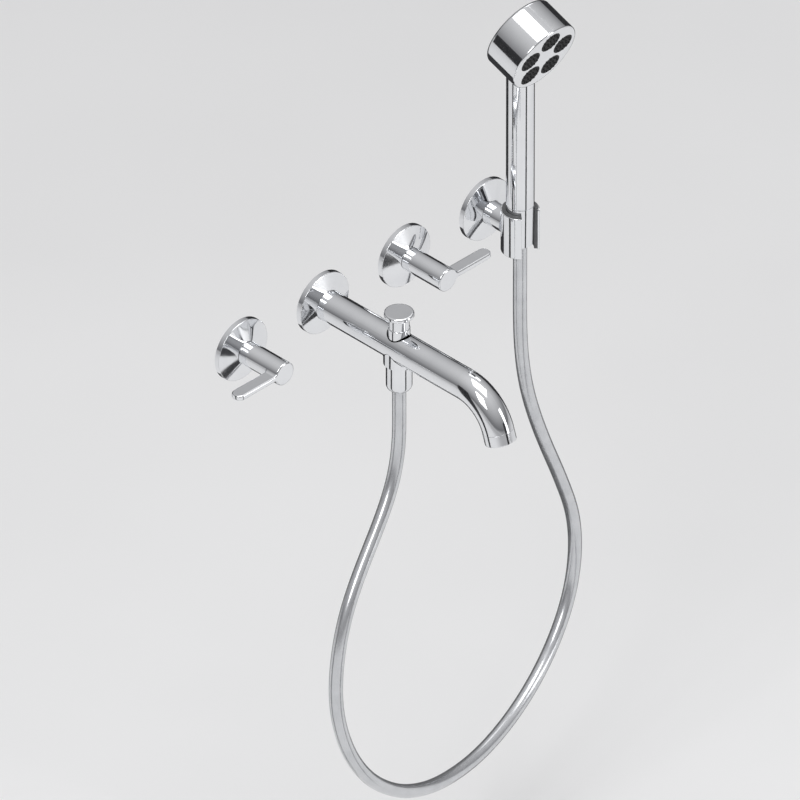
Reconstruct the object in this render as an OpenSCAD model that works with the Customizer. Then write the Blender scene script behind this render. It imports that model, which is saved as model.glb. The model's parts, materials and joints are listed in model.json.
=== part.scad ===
// Wall mounted bath filler: two lever valves, a spout with a pull-up diverter, and a
// handset on a hose that stands in a wall cradle. All sizes are in millimetres.
// The wall is the plane Y = 0 and the fittings stand out of it along -Y. +X runs to the
// right along the wall and +Z is up. The origin is on the spout's axis at the wall.

/* [Layout] */
// Distance between the centres of neighbouring wall flanges
pitch = 101.6; // [80:0.1:130]
// Distance from the wall to the diverter's upright axis
diverter_out = 97.9; // [75:0.1:135]
// Distance from the wall to the handset's upright axis
handset_out = 46.2; // [44:0.1:65]

/* [Wall flanges] */
// Diameter of every wall flange
flange_d = 60.3; // [50:0.1:75]
// Height of a wall flange's rim above the wall
flange_t = 5.2; // [4.2:0.1:7]
// Angle that a wall flange's face slopes up towards its middle
flange_slope = 15; // [8:0.5:17]
// Thickness of a wall flange's front plate
flange_plate = 1.5; // [1:0.1:2]
// Thickness of a wall flange's rim
flange_rim = 1.5; // [1:0.1:3]
// Rounding of a wall flange's front edge
flange_edge = 0.5; // [0.3:0.1:1.5]
// Width of the foam ring inside a wall flange
gasket_w = 4; // [2:0.5:6]

/* [Valves] */
// Diameter of the round hub of a valve handle
hub_d = 22.2; // [21:0.1:28]
// Distance from the wall to the hub's front face
hub_reach = 57.7; // [52:0.1:85]
// Wall thickness of the hub over the valve's barrel
hub_wall = 1.9; // [1.2:0.1:2.4]
// Rounding of the hub's front edge
hub_edge = 1.2; // [0.4:0.1:2]
// Distance that the valve's barrel stands out of the wall
barrel_reach = 35; // [31:0.5:39]
// Outside diameter of the wall thread, G 1/2
thread_d = 20.96; // [20:0.01:22]
// Length of a valve's threaded spigot behind the wall
spigot_len = 12; // [10:0.5:14]
// Size across the flats of the valve body's spanner flange
hex_af = 24; // [22:0.5:30]
// Thickness of the spanner flange
hex_t = 3; // [2:0.1:3.5]
// Diameter of the spindle
spindle_d = 8.1; // [7:0.1:9]
// Thickness of each ceramic disc
disc_t = 3; // [2.5:0.1:3.2]
// Radius of each water port through the cartridge
port_r = 1.9; // [1.5:0.1:2.2]
// Distance of each water port from the valve's axis
port_at = 3.7; // [3.4:0.1:4]

/* [Levers] */
// Distance from the hub's axis to the lever's tip
lever_len = 57; // [40:0.5:90]
// Width of the lever, along the hub
lever_w = 13; // [9:0.1:16]
// Thickness of the lever
lever_t = 5.1; // [4:0.1:8]
// Rounding of the lever's edges
lever_edge = 1.5; // [0.5:0.1:1.9]

/* [Spout] */
// Outside diameter of the spout
spout_d = 28.6; // [26:0.1:34]
// Wall thickness of the spout
spout_wall = 2.3; // [1.8:0.1:3]
// Length of the spout's straight stretch, from the wall
spout_straight = 180.7; // [145:0.5:245]
// Radius of the spout's bend, at the middle of the tube
bend_r = 42.5; // [32:0.5:60]
// Angle that the bend turns down
bend_angle = 72; // [45:1:90]
// Length of the aerator collar at the end of the bend
collar_len = 11; // [9:0.1:14]
// Rounding of the collar's edge where it meets the spout
collar_seam = 0.4; // [0.2:0.1:0.6]
// Length of the female wall thread in the spout's inlet
inlet_len = 14; // [10:0.5:16]

/* [Diverter] */
// Diameter of the boss on top of the spout
boss_d = 19.9; // [19.4:0.1:24]
// Height of the top boss above the spout's axis
boss_top = 20.8; // [18.8:0.1:24]
// Diameter of the neck above the boss
neck_d = 18.4; // [16:0.1:19]
// Height of the neck above the boss
neck_h = 11.5; // [10:0.1:16]
// Diameter of the pull knob
knob_d = 27; // [22:0.1:34]
// Thickness of the pull knob
knob_t = 4.3; // [4:0.1:7]
// Distance that the knob lifts
knob_travel = 8.4; // [8.2:0.1:8.4]
// Diameter of the diverter's stem
stem_d = 5; // [4.6:0.1:5.4]
// Turns of the return spring
spring_turns = 4.5; // [3:0.5:5]

/* [Hose outlet] */
// Diameter of the boss under the spout
outlet_d = 28.2; // [27:0.1:28.4]
// Depth of the bottom boss below the spout's axis
outlet_drop = 17.4; // [17:0.1:22]
// Diameter of the lower hose nut
nut_d = 23.6; // [23.2:0.1:28]
// Height of the lower hose nut
nut_h = 28; // [28:0.5:34]
// Rounding of the lower hose nut's bottom edge
nut_edge = 5.5; // [1:0.5:6]
// Diameter of the hose
hose_d = 12.5; // [11:0.1:13]

/* [Bracket] */
// Diameter of the bracket's post
post_d = 22.2; // [20.4:0.1:24]
// Thickness of the cradle's liner beside the bottom of the cone nut
liner_wall = 3; // [2.9:0.1:4.5]
// Height of the cradle
cradle_h = 43.2; // [38:0.1:46]
// Thickness of the cradle's metal shell
cradle_wall = 2; // [1.5:0.1:2.2]
// Half of the angle that the cradle is open at the front
cradle_open = 40; // [36:1:55]
// Distance between the two wall screws of the bracket
bracket_holes = 32; // [30:0.5:36]
// Diameter of the bracket's screw holes
bracket_hole_d = 4.6; // [4:0.1:6]

/* [Handset] */
// Diameter of the wand
wand_d = 25.4; // [24.8:0.1:29]
// Wall thickness of the wand
wand_wall = 2; // [1.6:0.1:2.1]
// Rounding of the wand's lower edge
wand_edge = 0.8; // [0.3:0.1:1]
// Height of the wand's lower end above the post's axis
wand_bottom = 27.2; // [27:0.1:32]
// Depth of the cone nut's lower end below the post's axis
cone_bottom = 13.5; // [13:0.1:15]
// Difference in diameter between the wand and the top of the cone nut
cone_step = 0.4; // [0.2:0.1:1.2]
// Difference in diameter between the top and the bottom of the cone nut
cone_taper = 1; // [0.8:0.1:1.6]
// Height at which the head's axis crosses the wand's axis
head_z = 210.1; // [170:0.5:260]
// Diameter of the spray head
head_d = 73; // [73:0.5:90]
// Thickness of the spray head
head_t = 37.5; // [34:0.5:44]
// Distance of the head's back behind the wand's axis, along the head's axis
head_behind = 5.2; // [0:0.1:10]
// Angle that the head looks down
head_tilt = 20; // [0:1:30]
// Rounding of the head's back edge
head_back_edge = 3; // [1:0.5:5]
// Rounding of the head's front edge
head_front_edge = 1.6; // [0.5:0.1:1.7]
// Diameter of each round spray pad
pad_d = 21.6; // [14:0.1:21.8]
// Distance of each spray pad from the middle of the face
pad_at = 21; // [20.5:0.1:21.2]

/* [Clearances] */
// Radial gap of a piece that turns or slides in its bore
running = 0.05; // [0.03:0.01:0.09]
// Gap between pieces that are fastened together
fitted = 0.05; // [0.02:0.01:0.1]
// Gap between pieces that move past each other
free = 0.3; // [0.25:0.05:0.4]
// Film of water or grease between faces that slide on each other
film = 0.02; // [0.01:0.01:0.05]

/* [Hidden] */
$fn = 96;
// Distance that a cutting shape runs past what it cuts
over = 1;
// Small gap of a piece that drops into its place
slack = 0.1;
SIDES = [-1, 1];
PAD_COUNT = 5;

flange_r = flange_d / 2;
gasket_r = flange_r - flange_rim - slack;
flange_gap = 0.2;
thread_r = thread_d / 2;

hub_r = hub_d / 2;
hub_bore_r = hub_r - hub_wall;
hub_back = face_z(hub_r) + free;
valve_seal_z = face_z(hub_r) - flange_plate / 2;
barrel_r = hub_bore_r - free;
hub_bore_end = barrel_reach + over;
spindle_r = spindle_d / 2;
hub_cap = 7;
spindle_end = hub_reach - hub_cap;
spindle_flat_depth = 1.2;
spindle_flat = spindle_r - spindle_flat_depth;
spindle_flat_from = hub_bore_end + over;
spindle_nose_r = 7.2;
chamber_r = 7.6;
// A plain neck behind the thread, up to the spanner flange just clear of the wall
relief_r = 9.4;
relief_len = 1.5;
hex_from = 0.2;
chamber_end = 4;
barrel_hole_r = barrel_r + flange_gap;
seal_groove = 0.8;
seal_wire_r = 0.5;
glide_inset = 10;
glide_from = barrel_reach - glide_inset;
glide_len = 4;
base_t = 3.5;
fixed_from = base_t - spigot_len;
moving_from = fixed_from + disc_t;
nose_from = moving_from + disc_t;
port_lip = 0.75;
tongue_w = 3;
tongue_len = 9.6;
tongue_t = 1.1;
port_seal_r = port_r + port_lip;
port_seal_wire_r = 0.55;
spindle_seals_at = [10, 14];
spindle_seal_wire_r = 0.48;
lever_mid = hub_reach - lever_w / 2;
screw_r = 2;
screw_recess = 0.4;
screw_clear = 3;
handle_screw_gap = 3.5;
handle_screw_at = hub_reach - lever_w - handle_screw_gap;

spout_r = spout_d / 2;
spout_bore_r = spout_r - spout_wall;
spout_hole_r = spout_r + flange_gap;
bend_end = [0, -spout_straight - bend_r * sin(bend_angle), -bend_r + bend_r * cos(bend_angle)];
end_wall = 1.7;
end_bore_r = spout_r - end_wall;
inlet_bore_r = 9.32;
inlet_shoulder = 6;
inlet_body_len = inlet_len + inlet_shoulder;
inlet_seal_at = inlet_len + inlet_shoulder / 2;
inlet_seal_wire_r = 0.7;
spout_screw_at = face_z(spout_r) + screw_clear;
dimple = 1.2;

valve_room_r = 9.6;
room_wall = 3.4;
block_half = valve_room_r + room_wall;
room_top = 11;
room_bottom = -12.5;
inlet_window_z = -3.9;
outlet_window_z = 6.7;
window_r = 4;
cage_r = valve_room_r - fitted;
cage_bore_r = 7.6;
cage_top_bore_r = 6.6;
cage_floor = 2;
lower_seat = room_bottom + cage_floor;
upper_seat = 0.5;
upper_seat_t = 2;
seat_hole_r = 4;
upper_hole_r = 5;
washer_r = 6.3;
washer_t = upper_seat - lower_seat - knob_travel - slack;
washer_z = lower_seat + film;
stem_r = stem_d / 2;
stem_head_r = 3.4;
stem_head_t = 1.7;
stem_collar_r = 4.2;
stem_collar_t = 1.1;
spring_seat_z = 3.6;
bonnet_cavity_r = 4.8;
spring_bottom = spring_seat_z + stem_collar_t;
spring_top = 18;
spring_wire_r = 0.4;
spring_r = 3.6;
bonnet_thread_r = 7.45;
boss_edge = 1;
boss_seal_r = 8.8;
boss_seal_depth = 1.4;
boss_seal_wire_r = 0.62;
neck_edge = 0.4;
neck_top = boss_top + neck_h;
stem_seal_rise = 3.8;
stem_seal_z = boss_top + stem_seal_rise;
stem_seal_wire_r = 0.62;
stem_seal_r = stem_r + stem_seal_wire_r + slack;
knob_z = neck_top + free;
knob_skin = 1.6;
knob_lower_edge = 1.2;
knob_upper_edge = 1.7;
stem_top = knob_z + knob_t - knob_skin;

collar_edge = 1;
collar_lip = 1.2;
collar_wall = 1.8;
collar_lip_w = 1.4;
collar_bore_r = spout_bore_r - collar_wall;
collar_lip_r = collar_bore_r - collar_lip_w;
collar_thread = 5;
aerator_t = 7.5;
aerator_from = collar_len - aerator_t;
aerator_washer_w = 2.6;
aerator_hole_r = 0.8;
aerator_step = 2.5;
aerator_rings = 3;

outlet_counterbore_r = 11.5;
outlet_bore_r = 7;
outlet_thread = 10.6;
outlet_end = -outlet_drop - outlet_thread;
washer_h = 1.4;
ferrule_flange_r = 8.7;
ferrule_flange_t = 2;
ferrule_bore_r = 4;
lower_ferrule_top = outlet_end - washer_h;
lower_ferrule_len = 10.6;
lower_ferrule_r = 7.6;
lower_ferrule_end = lower_ferrule_top - lower_ferrule_len;
nut_top = -outlet_drop - hex_from;
nut_bottom = nut_top - nut_h;
nut_top_edge = 0.4;
thread_gap = 0.07;
hose_r = hose_d / 2;
hose_hole_r = hose_r + free;

handset_x = 2 * pitch;
post_r = post_d / 2;
post_hole_r = post_r + flange_gap;
cone_top_r = (wand_d - cone_step) / 2;
cone_bottom_r = cone_top_r - cone_taper / 2;
cradle_bore_r = cone_bottom_r + free + liner_wall;
cradle_r = cradle_bore_r + cradle_wall;
plate_r = gasket_r - gasket_w - free;
plate_t = 3;
plate_boss_r = 9;
plate_boss_end = face_z(post_r) + 2 * screw_clear;
post_bore_end = plate_boss_end + free;
post_screw_at = face_z(post_r) + screw_clear;
screw_shaft_r = 2.4;
screw_head_r = 4.2;
screw_head_t = 1.5;
cradle_screw_len = 11;
liner_lip_t = 0.8;
liner_lip_inset = 1.1;
liner_lip_r = cradle_r - liner_lip_inset;
liner_foot = 1;
cradle_edge = 0.5;

wand_r = wand_d / 2;
wand_bore_r = wand_r - wand_wall;
wand_thread = 12;
thread_end = wand_bottom - wand_thread;
wand_spigot = 10;
water_r = 6.5;
liner_tube_r = 7.5;
liner_tube_wall = 1.4;
upper_ferrule_top = thread_end - washer_h - running;
upper_ferrule_flange = upper_ferrule_top - ferrule_flange_t;
upper_ferrule_inset = 7.5;
upper_ferrule_end = upper_ferrule_inset - cone_bottom;
upper_ferrule_r = 7.3;
shoulder_gap = 0.1;
head_r = head_d / 2;
face_t = 3.4;
head_wall = 2;
head_bore_r = head_r - head_wall;
face_from = head_t - face_t;
face_rim_h = 3.5;
head_seal_wire_r = 0.6;
head_seal_z = face_from - 2;
flow_plate_t = 2;
flow_hole_r = 2.5;
pad_proud = 0.3;
pad_flange = 0.5;
pad_flange_t = 1.5;
face_rim_bore_r = pad_at + pad_d / 2 + pad_flange + free;
pad_hole_r = 0.6;
pad_hole_rings = [[0, 1], [4, 6], [8, 12]];
liner_tube_inset = 2;
liner_tube_top = head_z - (head_r - head_wall - liner_tube_inset) / cos(head_tilt);

// The hose hangs in the upright plane through its two ends. Each point of its route is
// [distance along that plane from the outlet, height].
hose_side = handset_x;
hose_back = diverter_out - handset_out;
hose_span = sqrt(hose_side * hose_side + hose_back * hose_back);
hose_sides = 10;
hose_route = [
    [0, lower_ferrule_end], [0, -72], [-1, -104], [-9, -135], [-26, -161], [-48, -184],
    [-70, -206], [-90, -232], [-103, -262], [-109, -294], [-108, -326], [-100, -357],
    [-87, -387], [-69, -416], [-48, -442], [-24, -465], [3, -486], [32, -503],
    [62, -516], [95, -525], [128, -530], [161, -530], [194, -525], [225, -515],
    [253, -500], [277, -480], [296, -454], [306, -423], [307, -390], [300, -358],
    [287, -327], [273, -297], [258, -267], [244, -237], [231, -206], [220, -173],
    [213, -138], [210, -102], [hose_span, -60], [hose_span, upper_ferrule_end]
];

// ---------------------------------------------------------------- shapes that repeat

// Turns a shape drawn along +Z so that it stands out of the wall at x.
// The shape's +X stays +X and its +Y becomes +Z.
module outward(x) {
    translate([x, 0, 0]) rotate([90, 0, 0]) children();
}

module shaft(r, from, to) {
    translate([0, 0, from]) cylinder(r = r, h = to - from);
}

module tube(r, bore_r, from, to) {
    difference() {
        shaft(r, from, to);
        shaft(bore_r, from - over, to + over);
    }
}

module seal_ring(ring_r, wire_r, at) {
    translate([0, 0, at]) rotate_extrude() translate([ring_r, 0]) circle(wire_r);
}

// A round post from z = 0 to h with rounded ends
module rounded_post(r, h, foot_edge, top_edge) {
    rotate_extrude() {
        translate([0, foot_edge]) square([r, h - foot_edge - top_edge]);
        square([r - foot_edge, h - top_edge]);
        translate([0, foot_edge]) square([r - top_edge, h - foot_edge]);
        if (foot_edge > 0) translate([r - foot_edge, foot_edge]) circle(foot_edge);
        if (top_edge > 0) translate([r - top_edge, h - top_edge]) circle(top_edge);
    }
}

// A grub screw along -Y of its frame, from the depth tip_y to the depth head_y
module grub_screw(tip_y, head_y) {
    socket_r = 1.15;
    socket_depth = 1.6;
    rotate([90, 0, 0]) difference() {
        shaft(screw_r, tip_y, head_y);
        translate([0, 0, head_y - socket_depth]) cylinder(r = socket_r, h = socket_depth + over, $fn = 6);
    }
}

module grub_hole(from_y, to_y) {
    rotate([90, 0, 0]) shaft(screw_r + fitted, from_y, to_y);
}

// ---------------------------------------------------------------- wall flanges

// Height of a wall flange's sloping face above the wall, at the radius r
function face_z(r) = flange_t - flange_edge + flange_edge / cos(flange_slope)
    + (flange_r - flange_edge - r) * tan(flange_slope);

// A shallow cone with a hollow back. Its face is level inside the radius land_r.
module escutcheon(x, hole_r, land_r) {
    edge_x = flange_r - flange_edge;
    edge_z = flange_t - flange_edge;
    rim_bore_r = flange_r - flange_rim;
    outward(x) difference() {
        rotate_extrude() union() {
            polygon([
                [hole_r, 0], [flange_r, 0], [flange_r, edge_z],
                [edge_x + flange_edge * sin(flange_slope), edge_z + flange_edge * cos(flange_slope)],
                [land_r, face_z(land_r)], [hole_r, face_z(land_r)]
            ]);
            translate([edge_x, edge_z]) circle(flange_edge);
        }
        rotate_extrude() polygon([
            [0, -over], [rim_bore_r, -over], [rim_bore_r, face_z(rim_bore_r) - flange_plate],
            [land_r, face_z(land_r) - flange_plate], [0, face_z(land_r) - flange_plate]
        ]);
    }
}

module wall_gaskets() {
    color("dimgray") for (i = [-1:2])
        outward(i * pitch) tube(gasket_r, gasket_r - gasket_w, 0, face_z(gasket_r) - flange_plate);
}

// ---------------------------------------------------------------- valves

module valve_body(side) {
    outward(side * pitch) difference() {
        union() {
            shaft(thread_r, -spigot_len, -relief_len);
            shaft(relief_r, -spigot_len, hex_from);
            translate([0, 0, hex_from]) cylinder(d = hex_af / cos(30), h = hex_t, $fn = 6);
            shaft(barrel_r, hex_from, barrel_reach);
        }
        shaft(chamber_r, -spigot_len - over, chamber_end);
        shaft(spindle_r + running, 0, barrel_reach + over);
        tube(barrel_r + over, barrel_r - seal_groove, valve_seal_z - seal_groove, valve_seal_z + seal_groove);
        tube(barrel_r + over, barrel_r - seal_groove, glide_from, glide_from + glide_len);
    }
}

module escutcheon_seals() {
    color("black") for (side = SIDES) outward(side * pitch)
        seal_ring(barrel_r - seal_groove + seal_wire_r, seal_wire_r, valve_seal_z);
}

module glide_rings() {
    color("ivory") for (side = SIDES) outward(side * pitch)
        tube(hub_bore_r - running, barrel_r - seal_groove, glide_from, glide_from + glide_len);
}

// The two water ports, one above the other when the valve is in place
module ports(r, from, to) {
    for (y = SIDES) translate([0, y * port_at, 0]) shaft(r, from, to);
}

module port_bases() {
    color("ivory") for (side = SIDES) outward(side * pitch) difference() {
        shaft(chamber_r - fitted, -spigot_len, fixed_from);
        ports(port_r, -spigot_len - over, fixed_from + over);
        for (y = SIDES) translate([0, y * port_at, -spigot_len - over])
            tube(
                port_seal_r + port_seal_wire_r, port_seal_r - port_seal_wire_r,
                0, over + 2 * port_seal_wire_r);
    }
}

module port_seals() {
    color("black") for (side = SIDES, y = SIDES) outward(side * pitch)
        translate([0, y * port_at, 0])
            seal_ring(port_seal_r, port_seal_wire_r, port_seal_wire_r - spigot_len);
}

module fixed_discs() {
    color("white") for (side = SIDES) outward(side * pitch) difference() {
        shaft(chamber_r - fitted, fixed_from, moving_from);
        ports(port_r, fixed_from - over, moving_from + over);
    }
}

// The channel on the disc's back lies across the ports until the handle opens the valve
module moving_disc(side) {
    channel_t = 1.4;
    outward(side * pitch) difference() {
        shaft(spindle_nose_r, moving_from + film, nose_from);
        translate([0, 0, moving_from - over]) linear_extrude(over + channel_t) {
            square([2 * port_at, 2 * port_r], center = true);
            for (x = SIDES) translate([x * port_at, 0]) circle(port_r);
        }
        translate([0, 0, nose_from - tongue_t - slack]) linear_extrude(tongue_t + over)
            square([tongue_len + slack, tongue_w + slack], center = true);
    }
}

module spindle(side) {
    outward(side * pitch) difference() {
        union() {
            shaft(spindle_nose_r, nose_from, chamber_end - free);
            shaft(spindle_r, chamber_end - free - over, spindle_end);
            translate([0, 0, nose_from - tongue_t]) linear_extrude(tongue_t + over)
                square([tongue_len, tongue_w], center = true);
        }
        translate([-spindle_r - over, -2 * spindle_r, spindle_flat_from])
            cube([2 * (spindle_r + over), 2 * spindle_r - spindle_flat, spindle_end]);
        for (z = spindle_seals_at)
            tube(spindle_r + over, spindle_r - 2 * spindle_seal_wire_r,
                z - spindle_seal_wire_r - slack, z + spindle_seal_wire_r + slack);
    }
}

module spindle_seals(side) {
    outward(side * pitch) for (z = spindle_seals_at)
        seal_ring(spindle_r - spindle_seal_wire_r, spindle_seal_wire_r, z);
}

// A flat bar with round ends and rounded edges, from the hub's axis to the lever's tip
module lever_bar(side) {
    hull() for (x = [0, side * (lever_len - lever_w / 2)]) translate([x, 0, -lever_t / 2])
        rounded_post(lever_w / 2, lever_t, lever_edge, lever_edge, $fn = 32);
}

module handle(side) {
    outward(side * pitch) difference() {
        union() {
            translate([0, 0, hub_back]) rounded_post(hub_r, hub_reach - hub_back, 0, hub_edge);
            translate([0, 0, lever_mid]) rotate([90, 0, 0]) lever_bar(side);
        }
        shaft(hub_bore_r, hub_back - over, hub_bore_end);
        difference() {
            shaft(spindle_r + fitted, hub_back, spindle_end + slack);
            translate([-hub_r, -hub_d, spindle_flat_from + fitted])
                cube([hub_d, hub_d - spindle_flat - fitted, hub_reach]);
        }
        translate([0, 0, handle_screw_at]) grub_hole(0, hub_r + over);
    }
}

module handle_screw(side) {
    outward(side * pitch) translate([0, 0, handle_screw_at]) grub_screw(spindle_flat, hub_r - screw_recess);
}

// ---------------------------------------------------------------- spout

// Puts a shape drawn along +Z at the end of the bend, pointing along the water's way out
module at_mouth() {
    translate(bend_end) rotate([90 + bend_angle, 0, 0]) children();
}

// Puts a shape drawn around the Z axis on the diverter's upright axis
module at_diverter() {
    translate([0, -diverter_out, 0]) children();
}

module spout_body() {
    color("silver") difference() {
        union() {
            outward(0) difference() {
                shaft(spout_r, 0, spout_straight);
                shaft(spout_bore_r, -over, diverter_out - block_half);
                shaft(spout_bore_r, diverter_out + block_half, spout_straight + over);
            }
            translate([0, -spout_straight, -bend_r]) rotate([180, -90, 0])
                rotate_extrude(angle = bend_angle) translate([bend_r, 0]) difference() {
                    circle(spout_r);
                    circle(spout_bore_r);
                }
            at_diverter() rounded_post(boss_d / 2, boss_top, 0, boss_edge);
            at_diverter() shaft(outlet_d / 2, -outlet_drop, 0);
        }
        at_mouth() shaft(end_bore_r, -collar_thread, over);
        at_diverter() {
            shaft(valve_room_r, room_bottom - over, room_top);
            shaft(outlet_counterbore_r, -outlet_drop - over, room_bottom);
            shaft(bonnet_thread_r + fitted, room_top - over, boss_top + over);
            shaft(boss_seal_r, boss_top - boss_seal_depth, boss_top + over);
        }
        outward(0) translate([0, inlet_window_z, 0])
            shaft(window_r, diverter_out - block_half - over, diverter_out);
        outward(0) translate([0, outlet_window_z, 0])
            shaft(window_r, diverter_out, diverter_out + block_half + over);
        outward(0) translate([0, 0, spout_screw_at]) grub_hole(0, spout_r + over);
    }
}

module inlet_adapter() {
    color("goldenrod") outward(0) difference() {
        shaft(spout_bore_r - fitted, 0, inlet_body_len);
        shaft(inlet_bore_r, -over, inlet_len);
        shaft(water_r, 0, inlet_body_len + over);
        tube(spout_r, spout_bore_r - 2 * inlet_seal_wire_r - fitted,
            inlet_seal_at - inlet_seal_wire_r - slack, inlet_seal_at + inlet_seal_wire_r + slack);
        translate([0, 0, spout_screw_at]) grub_hole(spout_bore_r - dimple, spout_r);
    }
}

module inlet_seal() {
    color("black") outward(0)
        seal_ring(spout_bore_r - fitted - inlet_seal_wire_r, inlet_seal_wire_r, inlet_seal_at);
}

// One screw holds the spout on its adapter, the other the bracket's post on its plate
module set_screws() {
    color("dimgray") {
        outward(0) translate([0, 0, spout_screw_at])
            grub_screw(spout_bore_r - dimple, spout_r - screw_recess);
        outward(handset_x) translate([0, 0, post_screw_at]) grub_screw(plate_boss_r, post_r - screw_recess);
    }
}

// ---------------------------------------------------------------- diverter

module diverter_cage() {
    color("goldenrod") at_diverter() difference() {
        shaft(cage_r, room_bottom, room_top);
        shaft(seat_hole_r, room_bottom - over, lower_seat + over);
        shaft(cage_bore_r, lower_seat, upper_seat);
        shaft(upper_hole_r, upper_seat - over, upper_seat + upper_seat_t + over);
        shaft(cage_top_bore_r, upper_seat + upper_seat_t, room_top + over);
        translate([0, 0, inlet_window_z]) rotate([-90, 0, 0]) shaft(window_r, 0, cage_r + over);
        translate([0, 0, outlet_window_z]) rotate([90, 0, 0]) shaft(window_r, 0, cage_r + over);
    }
}

module diverter_bonnet() {
    color("silver") at_diverter() difference() {
        union() {
            shaft(bonnet_thread_r, room_top, boss_top + over);
            translate([0, 0, boss_top]) rounded_post(neck_d / 2, neck_h, 0, neck_edge);
        }
        shaft(bonnet_cavity_r, room_top - over, spring_top);
        shaft(stem_r + running, spring_top - over, neck_top + over);
        shaft(stem_seal_r + stem_seal_wire_r + fitted,
            stem_seal_z - stem_seal_wire_r - slack, stem_seal_z + stem_seal_wire_r + slack);
    }
}

module bonnet_seal() {
    color("black") at_diverter()
        seal_ring(
            bonnet_thread_r + boss_seal_wire_r + fitted, boss_seal_wire_r,
            boss_top - boss_seal_depth / 2);
}

module stem_seal() {
    color("black") at_diverter() seal_ring(stem_seal_r, stem_seal_wire_r, stem_seal_z);
}

module diverter_stem() {
    color("goldenrod") at_diverter() union() {
        shaft(stem_r, washer_z - stem_head_t, stem_top);
        shaft(stem_head_r, washer_z - stem_head_t, washer_z);
        shaft(stem_collar_r, washer_z + washer_t, washer_z + washer_t + stem_collar_t);
        shaft(stem_collar_r, spring_seat_z, spring_bottom);
    }
}

module diverter_washer() {
    color("black") at_diverter() tube(washer_r, stem_r + fitted, washer_z, washer_z + washer_t);
}

// The spring is one wire swept along a helix
module diverter_spring() {
    steps_per_turn = 16;
    wire_sides = 8;
    steps = spring_turns * steps_per_turn;
    low = spring_bottom + spring_wire_r;
    rise = spring_top - spring_wire_r - low;
    points = [for (i = [0:steps], k = [0:wire_sides - 1])
        let (turn = 360 * i / steps_per_turn, round_wire = 360 * k / wire_sides,
            r = spring_r + spring_wire_r * cos(round_wire))
        [r * cos(turn), r * sin(turn), low + rise * i / steps + spring_wire_r * sin(round_wire)]];
    color("gray") at_diverter() swept_skin(points, steps + 1, wire_sides);
}

module diverter_knob() {
    color("silver") at_diverter() difference() {
        translate([0, 0, knob_z]) rounded_post(knob_d / 2, knob_t, knob_lower_edge, knob_upper_edge);
        shaft(stem_r + fitted, knob_z - over, stem_top + slack);
    }
}

// ---------------------------------------------------------------- aerator

module aerator_collar() {
    color("silver") at_mouth() difference() {
        union() {
            rounded_post(spout_r, collar_len, collar_seam, collar_edge);
            shaft(end_bore_r - fitted, fitted - collar_thread, over);
        }
        shaft(collar_bore_r, -collar_thread, collar_len - collar_lip);
        shaft(collar_lip_r, 0, collar_len + over);
    }
}

module aerator_insert() {
    color("ivory") at_mouth() difference() {
        shaft(collar_bore_r - fitted, aerator_from, collar_len - collar_lip);
        shaft(aerator_hole_r, aerator_from - over, collar_len + over);
        for (ring = [1:aerator_rings], i = [1:6 * ring])
            rotate([0, 0, 60 * i / ring]) translate([ring * aerator_step, 0, 0])
                shaft(aerator_hole_r, aerator_from - over, collar_len + over);
    }
}

module aerator_washer() {
    color("black") at_mouth() tube(collar_bore_r - fitted, collar_bore_r - aerator_washer_w, 0, aerator_from);
}

// ---------------------------------------------------------------- hose outlet and hose

module hose_outlet() {
    color("goldenrod") at_diverter() difference() {
        union() {
            shaft(outlet_counterbore_r - fitted, -outlet_drop, room_bottom);
            shaft(thread_r, outlet_end, -outlet_drop + over);
        }
        shaft(outlet_bore_r, outlet_end - over, room_bottom + over);
    }
}

module check_valve() {
    web_t = 1.5;
    web_z = outlet_end + 5;
    cup_r = 5.4;
    way_r = 1.5;
    cartridge_top = room_bottom - web_t;
    color("ivory") at_diverter() difference() {
        shaft(outlet_bore_r - fitted, outlet_end + over, cartridge_top);
        shaft(cup_r, outlet_end, web_z);
        shaft(cup_r, web_z + web_t, cartridge_top + over);
        for (i = [0:2]) rotate([0, 0, 120 * i]) translate([2 * way_r, 0, 0])
            shaft(way_r, outlet_end, cartridge_top);
    }
}

module outlet_washer() {
    color("black") at_diverter() tube(ferrule_flange_r, ferrule_bore_r, lower_ferrule_top, outlet_end);
}

module ferrule(top, end, sleeve_r) {
    difference() {
        union() {
            shaft(ferrule_flange_r, top - ferrule_flange_t, top);
            shaft(sleeve_r, end, top);
        }
        shaft(ferrule_bore_r, end - over, top + over);
    }
}

module lower_ferrule() {
    color("goldenrod") at_diverter() ferrule(lower_ferrule_top, lower_ferrule_end, lower_ferrule_r);
}

module lower_hose_nut() {
    color("silver") at_diverter() difference() {
        translate([0, 0, nut_bottom]) rounded_post(nut_d / 2, nut_h, nut_edge, nut_top_edge);
        shaft(hose_hole_r, nut_bottom - over, nut_top);
        shaft(ferrule_flange_r + free, lower_ferrule_end, nut_top);
        shaft(thread_r + thread_gap, lower_ferrule_top, nut_top + over);
    }
}

// Joins rings of points, listed ring by ring, into one closed skin
module swept_skin(points, rings, sides) {
    walls = [for (i = [0:rings - 2], k = [0:sides - 1])
        let (a = i * sides + k, b = i * sides + (k + 1) % sides)
        [a, a + sides, b + sides, b]];
    start_cap = [for (k = [0:sides - 1]) k];
    end_cap = [for (k = [0:sides - 1]) rings * sides - 1 - k];
    polyhedron(points, concat(walls, [start_cap, end_cap]), convexity = 10);
}

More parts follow.
